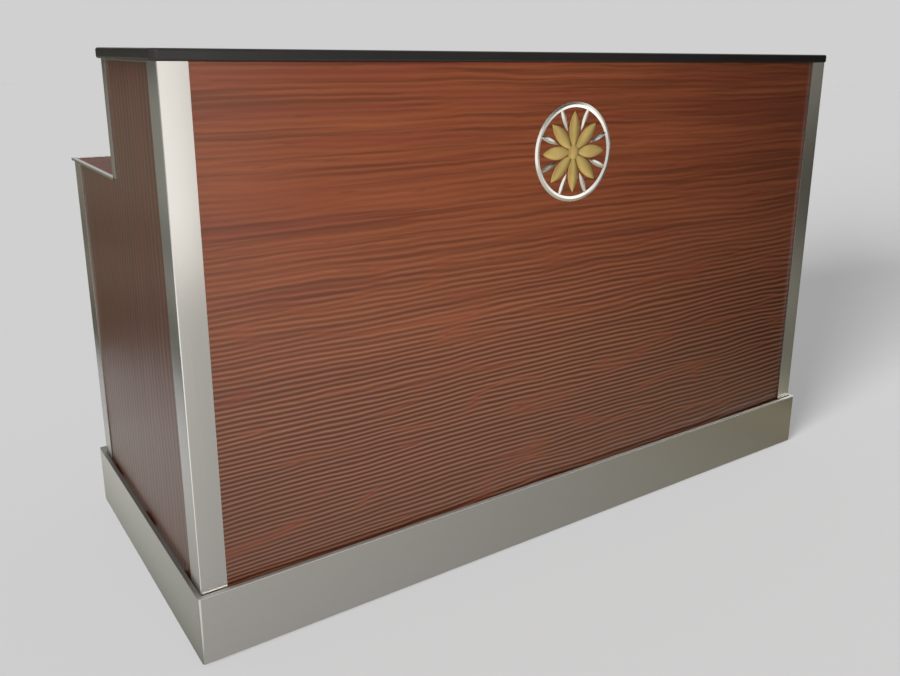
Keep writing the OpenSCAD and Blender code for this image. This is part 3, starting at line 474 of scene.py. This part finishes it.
def softened(node):
    """The node's own shape with rounded edges, and rounder folds if it has any; it stands for the node."""
    mesh = merged_copy(node)
    mesh.shade_smooth()
    mesh.materials.append(finish(node))
    piece = bpy.data.objects.new(node + "_finished", mesh)
    bpy.context.scene.collection.objects.link(piece)
    if node in fold_radii:
        mark_folds(mesh)
        folds = piece.modifiers.new("folds", "BEVEL")
        folds.width = fold_radii[node] * MM
        folds.segments = 4
        folds.limit_method = "WEIGHT"
        folds.use_clamp_overlap = False
    edges = piece.modifiers.new("soft_edges", "BEVEL")
    edges.width = edge_radii[node] * MM
    edges.segments = 2
    edges.limit_method = "ANGLE"
    edges.angle_limit = hard_edge
    edges.harden_normals = True
    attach(piece, body_of[node])
    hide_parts(node)
    return piece


finished = {node: softened(node) for node in edge_radii}


# Rosette: plates with a crest along each petal, and a ring with sloping shoulders

silver_low, silver_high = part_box("ornament_silver")
gold_low, gold_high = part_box("ornament_gold")
panel_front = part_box("front_panel")[0].y
rosette_height = (silver_low.z + silver_high.z) / 2
plate = silver_high.y - silver_low.y
wall = 0.45 * plate
crest = 0.98 * plate
petals = 8
petal_half = 15 * MM
dart_length = 60 * MM
dart_half = 6 * MM
dart_overlap = 2 * MM
boss_radius = 17 * MM
boss_flat = 0.62 * boss_radius
boss_middle = 0.98 * crest
hollow = 0.02 * MM
ring_width = 12 * MM
ring_radius = (silver_high.x - silver_low.x) / 2
gold_radius = (gold_high.x - gold_low.x) / 2
leaf_steps = 25
leaf_reach = 0.998
leaf_bevel = 0.5 * MM
bevel_share = 0.4
crest_fall = 0.6
ring_steps = 96
boss_steps = 48
crease = math.radians(35)


def on_front(points):
    """Points of a plate drawn in its own plane, x right, y up and z out of it, set on the front panel."""
    x, y, z = np.moveaxis(np.asarray(points), -1, 0)
    return np.stack([x, panel_front - z, rosette_height + y], axis=-1)


def closed_strip(rings):
    """Faces of a tube of rings, each joined to the next, with the first and the last closed to flat ends."""
    count, width = rings.shape[:2]
    across = np.arange(width)
    after = (across + 1) % width
    base = np.arange(count - 1)[:, None] * width
    quads = np.stack([base + across, base + after, base + width + after, base + width + across], axis=-1)
    faces = quads.reshape(-1, 4).tolist()
    return faces + [list(across[::-1]), list(across + (count - 1) * width)]


def crested_leaf(inner, outer, half, turn):
    """A pointed leaf from radius inner to outer, turned about the plate's centre.

    Its half width is that of two circles which cross at the points: sqrt(R * R - s * s) - (R - half), with s
    the distance from its middle. Its section is a wall, a slope up to the crest, and the same down again; the
    crest falls to the wall's height at both points, as the width's share of half to the power crest_fall.
    """
    span = (outer - inner) / 2
    radius = (span * span + half * half) / (2 * half)
    s = span * np.sin(np.linspace(-1, 1, leaf_steps) * math.pi / 2) * leaf_reach
    width = np.sqrt(radius * radius - s * s) - (radius - half)
    top = wall + (crest - wall) * np.clip(width / half, 0, 1) ** crest_fall
    bevel = np.minimum(leaf_bevel, width * bevel_share)
    foot, edge, shoulder = 0 * s, wall - bevel / 2, wall + 0 * s
    side = [-width, -width, -width + bevel, 0 * width, width - bevel, width, width]
    rise = [foot, edge, shoulder, top, shoulder, edge, foot]
    along = (inner + outer) / 2 + s
    rings = np.stack([np.stack([along, w, h], axis=-1) for w, h in zip(side, rise)], axis=1)
    x, y, z = np.moveaxis(rings, -1, 0)
    c, n = math.cos(turn), math.sin(turn)
    return np.stack([x * c - y * n, x * n + y * c, z], axis=-1)


def turned_ring(profile, count):
    """Points of a profile of (radius, height) turned about the plate's centre in equal steps."""
    angle = np.linspace(0, 2 * math.pi, count, endpoint=False)[:, None]
    radius, height = np.asarray(profile).T
    return np.stack([radius * np.cos(angle), radius * np.sin(angle), height + 0 * angle], axis=-1)


def loop_faces(rings):
    """Faces of rings joined one to the next all the way round, for a profile that closes on itself."""
    count, width = rings.shape[:2]
    ring, across = np.meshgrid(np.arange(count), np.arange(width), indexing="ij")
    after, beside = (ring + 1) % count, (across + 1) % width
    quads = [ring * width + across, after * width + across, after * width + beside, ring * width + beside]
    return np.stack(quads, axis=-1).reshape(-1, 4).tolist()


def join_on_front(parts):
    """One list of points, set on the front panel, and one of faces from several (points, faces) pairs."""
    points, faces, start = [], [], 0
    for part_points, part_faces in parts:
        flat = on_front(part_points).reshape(-1, 3)
        points.append(flat)
        faces += [[start + i for i in face] for face in part_faces]
        start += len(flat)
    return np.concatenate(points), faces


def turn_outwards(mesh):
    """Turns a closed mesh's faces outwards."""
    work = bmesh.new()
    work.from_mesh(mesh)
    bmesh.ops.recalc_face_normals(work, faces=work.faces)
    work.to_mesh(mesh)
    work.free()


def rosette_piece(name, node, parts):
    """One object of (points, faces) pairs, smooth between its creases; it stands for the node."""
    points, faces = join_on_front(parts)
    mesh = bpy.data.meshes.new(name)
    mesh.from_pydata(points, [], faces)
    mesh.update()
    mesh.shade_smooth()
    mesh.set_sharp_from_angle(angle=crease)
    turn_outwards(mesh)
    mesh.materials.append(finish(node))
    piece = bpy.data.objects.new(name, mesh)
    bpy.context.scene.collection.objects.link(piece)
    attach(piece, body_of[node])
    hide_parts(node)
    return piece


ring_inner = ring_radius - ring_width
ring = turned_ring([(ring_radius, 0), (ring_radius, wall), (ring_radius - ring_width / 2, crest),
                    (ring_inner, wall), (ring_inner, 0)], ring_steps)
boss = turned_ring([(hollow, 0), (boss_radius, 0), (boss_radius, wall), (boss_flat, crest),
                    (hollow, boss_middle)], boss_steps)
dart_outer = ring_radius - dart_overlap
silver_parts = [(ring, loop_faces(ring))]
gold_parts = [(boss, loop_faces(boss))]
for i in range(petals):
    turn = math.pi / 2 + i * 2 * math.pi / petals
    petal = crested_leaf(boss_radius / 2, gold_radius, petal_half, turn)
    dart = crested_leaf(dart_outer - dart_length, dart_outer, dart_half, turn + math.pi / petals)
    gold_parts.append((petal, closed_strip(petal)))
    silver_parts.append((dart, closed_strip(dart)))
rosette_silver = rosette_piece("rosette_silver", "ornament_silver", silver_parts)
rosette_gold = rosette_piece("rosette_gold", "ornament_gold", gold_parts)


# Studio: a floor that fades into the backdrop, soft lights, and cards that show only in the gloss

backdrop_colour = "#d0d0d0"
ambient = 0.25
floor_shade = 0.3
floor_half = 30.0

# Each softbox: place, aim, width and height in metres, power in watts and spread in degrees
softboxes = {
    "key_softbox": ((-1.34, -3.84, 2.0), (-0.41, -0.39, 0.96), 1.2, 1.2, 9.8, 44),
    "back_softbox": ((1.6, 3.6, 2.2), (0.0, 0.2, 0.7), 1.6, 1.2, 75, 180),
}
sun_from = Vector((-1.0, -0.325, 0.2235))
sun_strength = 13.3
sun_spread = 24


def seen_rays(tree):
    """1 for camera, gloss and glass rays straight from the camera, 0 for the light that surfaces exchange."""
    rays = add(tree, "LightPath").outputs
    seen = add(tree, "Math", [rays["Is Camera Ray"], rays["Is Glossy Ray"]], operation="MAXIMUM")
    seen = add(tree, "Math", [seen, rays["Is Transmission Ray"]], operation="MAXIMUM")
    return add(tree, "Math", [seen, rays["Diffuse Depth"]], operation="SUBTRACT", use_clamp=True)


def empty_tree(owner):
    """The owner's shader tree with nothing in it."""
    owner.use_nodes = True
    owner.node_tree.nodes.clear()
    return owner.node_tree


def end_with(tree, surface, kind="OutputMaterial"):
    """Ends a tree with its surface shader."""
    add(tree, kind, {"Surface": surface})


def stage_face(name, corners, made):
    """A flat four-sided face of the studio with its material."""
    mesh = bpy.data.meshes.new(name)
    mesh.from_pydata(corners, [], [(0, 1, 2, 3)])
    mesh.materials.append(made)
    face = bpy.data.objects.new(name, mesh)
    bpy.context.scene.collection.objects.link(face)
    return face


def floor_and_backdrop():
    """A wide floor that looks evenly grey but keeps the bar's shadow.

    Where the camera or a reflection sees it, it glows by what it lacks to the backdrop's grey in the open,
    where its light is ambient plus the low sun's strength times the sine of its height, over pi.
    """
    made = bpy.data.materials.new("studio_floor")
    tree = empty_tree(made)
    light = ambient + sun_strength * sun_from.normalized().z / math.pi
    lack = linear(backdrop_colour)[0] - floor_shade * light
    matt = add(tree, "BsdfDiffuse", {"Color": (floor_shade, floor_shade, floor_shade, 1.0)})
    power = add(tree, "Math", [seen_rays(tree), lack], operation="MULTIPLY")
    glow = add(tree, "Emission", {"Strength": power})
    end_with(tree, add(tree, "AddShader", [matt, glow]))
    signs = ((-1, -1), (1, -1), (1, 1), (-1, 1))
    return stage_face("studio_floor", [(x * floor_half, y * floor_half, 0) for x, y in signs], made)


def studio_world():
    """Plain grey for the camera, gloss and glass; soft white light for everything else."""
    world = bpy.data.worlds.new("studio")
    bpy.context.scene.world = world
    tree = empty_tree(world)
    light = add(tree, "Background", {"Color": linear("#ffffff"), "Strength": ambient})
    plain = add(tree, "Background", {"Color": linear(backdrop_colour), "Strength": 1.0})
    end_with(tree, add(tree, "MixShader", [seen_rays(tree), light, plain]), "OutputWorld")


def light_only(source, things, state):
    """Lets a lamp or card light only some things, with state INCLUDE, or all but them, with EXCLUDE."""
    group = bpy.data.collections.new(source.name + "_receivers")
    for thing in things:
        group.objects.link(thing)
    for member in group.collection_objects:
        member.light_linking.link_state = state
    source.light_linking.receiver_collection = group


def low_sun(name):
    """A sun whose light comes from sun_from, over an angle that softens its shadows."""
    lamp = bpy.data.lights.new(name, "SUN")
    lamp.energy = sun_strength
    lamp.angle = math.radians(sun_spread)
    sun = bpy.data.objects.new(name, lamp)
    sun.rotation_euler = sun_from.to_track_quat("Z", "Y").to_euler()
    bpy.context.scene.collection.objects.link(sun)
    return sun


def soft_light(name, spot, aim, width, height, power, spread):
    """A rectangular area light at spot, facing aim, that shines into a spread in degrees."""
    lamp = bpy.data.lights.new(name, "AREA")
    lamp.shape = "RECTANGLE"
    lamp.size = width
    lamp.size_y = height
    lamp.energy = power
    lamp.spread = math.radians(spread)
    box = bpy.data.objects.new(name, lamp)
    box.location = spot
    box.rotation_euler = (Vector(aim) - Vector(spot)).to_track_quat("-Z", "Y").to_euler()
    box.visible_glossy = False
    bpy.context.scene.collection.objects.link(box)
    return box


def ramp_along(tree, place_along, steps):
    """A ramp over a place in metres, from (place, linear colour) pairs with even blends between them."""
    start, end = steps[0][0], steps[-1][0]
    share = add(tree, "MapRange", [place_along, start, end, 0.0, 1.0])
    ramp = add(tree, "ValToRGB", [share])
    marks = ramp.color_ramp.elements
    while len(marks) < len(steps):
        marks.new(0.5)
    for mark, (step, colour) in zip(marks, steps):
        mark.position = (step - start) / (end - start)
        mark.color = colour
    return ramp


def gloss_card(name, corner, beside, above, colours, strength=1.0, fade=(), only=()):
    """A flat four-sided card with a brightness of its own that shows only in reflections.

    It is given by a corner, the one beside it and the one above or behind it. colours lists (x, hex colour)
    pairs. fade lists (place, factor) pairs that dim or lift the card along Z if it stands, along Y if it
    lies. With only, it shines on those things and is clear to all the others.
    """
    corner, beside, above = Vector(corner), Vector(beside), Vector(above)
    made = bpy.data.materials.new(name)
    tree = empty_tree(made)
    spot = add(tree, "SeparateXYZ", [add(tree, "TexCoord").outputs["Object"]])
    colour = ramp_along(tree, spot.outputs["X"], [(x, linear(code)) for x, code in colours])
    depth = add(tree, "LightPath").outputs["Diffuse Depth"]
    power = add(tree, "Math", [1.0, depth], operation="SUBTRACT", use_clamp=True)
    power = add(tree, "Math", [power, strength], operation="MULTIPLY")
    if fade:
        axis = "Z" if above.z > corner.z else "Y"
        factors = [(step, (factor, factor, factor, 1.0)) for step, factor in fade]
        faded = ramp_along(tree, spot.outputs[axis], factors)
        power = add(tree, "Math", [power, faded], operation="MULTIPLY")
    glow = add(tree, "Emission", {"Color": colour, "Strength": power})
    end_with(tree, add(tree, "AddShader", [glow, add(tree, "BsdfTransparent")]) if only else glow)
    card = stage_face(name, [corner, beside, beside + above - corner, above], made)
    card.visible_camera = False
    card.visible_diffuse = False
    card.visible_shadow = False
    card.visible_transmission = False
    if only:
        light_only(card, only, "INCLUDE")


floor = floor_and_backdrop()
studio_world()
for name, settings in softboxes.items():
    light_only(soft_light(name, *settings), [floor], "EXCLUDE")
light_only(low_sun("shadow_sun"), [floor], "INCLUDE")

# Walls before the bar: a bright one on the left and a dark one on the right of the joint, and the left trim's
# own bright one just inside them
wall_left = -2.5
wall_joint = 0.22
wall_top = 2.6
wall_y = -3.4
inner_wall_y = -3.35
dark_wall_right = 25.0
dark_wall_top = 9.0
gloss_card("front_card", (wall_left, wall_y, 0), (wall_joint, wall_y, 0), (wall_left, wall_y, wall_top),
           [(wall_left, "#b9b5b0"), (-0.6, "#e4e0da"), (-0.25, "#fdfaf6"), (wall_joint, "#fdfaf6")],
           strength=1.3)
gloss_card("flange_card", (wall_left, inner_wall_y, 0), (wall_joint, inner_wall_y, 0),
           (wall_left, inner_wall_y, wall_top),
           [(wall_left, "#fdfaf6"), (wall_joint, "#fdfaf6")], strength=0.76,
           fade=[(0.0, 0.5), (0.3, 1.24), (0.5, 1.24), (1.1, 0.86), (wall_top, 0.7)],
           only=[finished["corner_trim_left"]])
gloss_card("dark_card_right", (wall_joint, wall_y, 0), (dark_wall_right, wall_y, 0),
           (wall_joint, wall_y, dark_wall_top),
           [(wall_joint, "#86847f"), (1.0, "#403e3b"), (2.4, "#14130f"), (dark_wall_right, "#14130f")])

# A slanted wall beside the left end, with the dark and light bands that its trims reflect
slant_near, slant_far, slant_top = (-1.9, 0.317), (-0.9, 2.137), 2.5
gloss_card("dark_card_left", (*slant_near, 0), (*slant_far, 0), (*slant_near, slant_top),
           [(slant_near[0], "#a3a49c"), (-1.36, "#a3a49c"), (-1.31, "#8a8473"), (slant_far[0], "#8a8473")],
           fade=[(0.0, 0.52), (0.22, 0.52), (0.36, 1.0), (0.5, 0.6), (0.66, 1.0), (1.02, 0.95), (1.14, 0.35),
                 (slant_top, 0.35)])

# A bright ceiling and a bright patch of floor, for the folds and corners of the steel alone
steel_pieces = [finished[node] for node in (
    "kick_skirt", "corner_trim_left", "corner_trim_right", "side_top_strips", "rear_trims", "riser_trims",
    "worktop_edging")]
ceiling = 3.2
gloss_card("top_card", (-0.6, -7.0, ceiling), (6.5, -7.0, ceiling), (-0.6, 0.6, ceiling),
           [(-0.6, "#ffffff"), (6.5, "#c0c0c0")], strength=5.5, only=steel_pieces)
linked_lift = 3 * MM
gloss_card("corner_card", (-5.0, inner_wall_y, linked_lift), (-0.95, inner_wall_y, linked_lift),
           (-5.0, -0.43, linked_lift), [(-5.0, "#ffffff"), (-1.6, "#ffffff"), (-0.95, "#b8b8b8")],
           only=steel_pieces)

# The right trim's own wall and floor
trim_wall_y = -1.2
trim_wall_left, trim_wall_right, trim_wall_top = 1.6, 2.6, 1.4
trim_floor_left = 0.9
right_trim = [finished["corner_trim_right"]]
gloss_card("trim_card", (trim_wall_left, trim_wall_y, 0), (trim_wall_right, trim_wall_y, 0),
           (trim_wall_left, trim_wall_y, trim_wall_top),
           [(trim_wall_left, "#fffbe8"), (trim_wall_right, "#fffbe8")],
           fade=[(0.0, 0.33), (0.25, 0.3), (0.42, 0.15), (0.62, 0.12), (0.78, 0.16), (1.05, 0.32),
                 (trim_wall_top, 0.32)], only=right_trim)
gloss_card("trim_floor_card", (trim_floor_left, trim_wall_y, linked_lift),
           (trim_wall_right, trim_wall_y, linked_lift), (trim_floor_left, -0.41, linked_lift),
           [(trim_floor_left, "#fffbe8"), (trim_wall_right, "#fffbe8")], strength=0.18, only=right_trim)

# The rosette's own walls, light between darker ends
card_foot, card_top = 0.1, 1.6
gloss_card("silver_card", (0.22, -1.95, card_foot), (1.56, -0.74, card_foot), (0.22, -1.95, card_top),
           [(0.22, "#8f8f8f"), (0.7, "#ffffff"), (1.1, "#ffffff"), (1.56, "#9a9a9a")],
           strength=1.4, only=[rosette_silver])
gloss_card("gold_card", (0.27, -2.0, card_foot), (1.61, -0.79, card_foot), (0.27, -2.0, card_top),
           [(0.27, "#4a4a4a"), (0.75, "#ffffff"), (1.1, "#c8c8c8"), (1.61, "#505050")],
           strength=0.85, only=[rosette_gold])

# The floor as the steel shows it, before the skirt and beside it
skirt_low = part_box("kick_skirt")[0]
floor_lift = 2 * MM
skirt_gap = 1 * MM
front_edge, left_edge = skirt_low.y - skirt_gap, skirt_low.x - skirt_gap
gloss_card("floor_card_front", (-3.5, wall_y, floor_lift), (12.0, wall_y, floor_lift),
           (-3.5, front_edge, floor_lift),
           [(-1.0, "#d6d5d2"), (0.0, "#b9b7b2"), (0.9, "#9d9885"), (1.12, "#a19c84"), (1.5, "#4a4842"),
            (2.5, "#2e2c28")], strength=1.3,
           fade=[(-2.4, 1.0), (-1.5, 0.9), (-0.72, 0.76), (front_edge, 0.66)])
gloss_card("floor_card_left", (-1.25, front_edge, floor_lift), (left_edge, front_edge, floor_lift),
           (-1.25, 0.9, floor_lift),
           [(-1.25, "#d0d0d0"), (-1.0, "#bcbcb6"), (-0.965, "#b8b8b2"), (left_edge, "#9c9e97")],
           fade=[(-0.4, 0.87), (0.42, 1.25), (0.9, 1.35)])


# Camera matched to the photo's corners: angles in degrees, lens in mm, shifts in shares of the width

camera_spot = (-1.3307, -1.8959, 1.1713)
camera_angles = (35.297, 15.247, 0.591)
lens_length = 34.902
sensor_width = 36
shift_right = -0.03218
shift_up = -0.05404


def photo_camera():
    """A camera turned by its yaw, looking down by its pitch, and tilted by a slight roll."""
    yaw, pitch, roll = (math.radians(angle) for angle in camera_angles)
    forward = Vector((math.sin(yaw) * math.cos(pitch), math.cos(yaw) * math.cos(pitch), -math.sin(pitch)))
    right = Vector((math.cos(yaw), -math.sin(yaw), 0))
    up = right.cross(forward)
    turned_right = right * math.cos(roll) + up * math.sin(roll)
    turned_up = up * math.cos(roll) - right * math.sin(roll)
    turned = Matrix((turned_right, turned_up, -forward)).transposed().to_4x4()
    data = bpy.data.cameras.new("photo_camera")
    data.sensor_width = sensor_width
    data.lens = lens_length
    data.shift_x = shift_right
    data.shift_y = shift_up
    camera = bpy.data.objects.new("photo_camera", data)
    camera.matrix_world = Matrix.Translation(camera_spot) @ turned
    bpy.context.scene.collection.objects.link(camera)
    bpy.context.scene.camera = camera


photo_camera()
bpy.context.scene.view_settings.view_transform = "Standard"
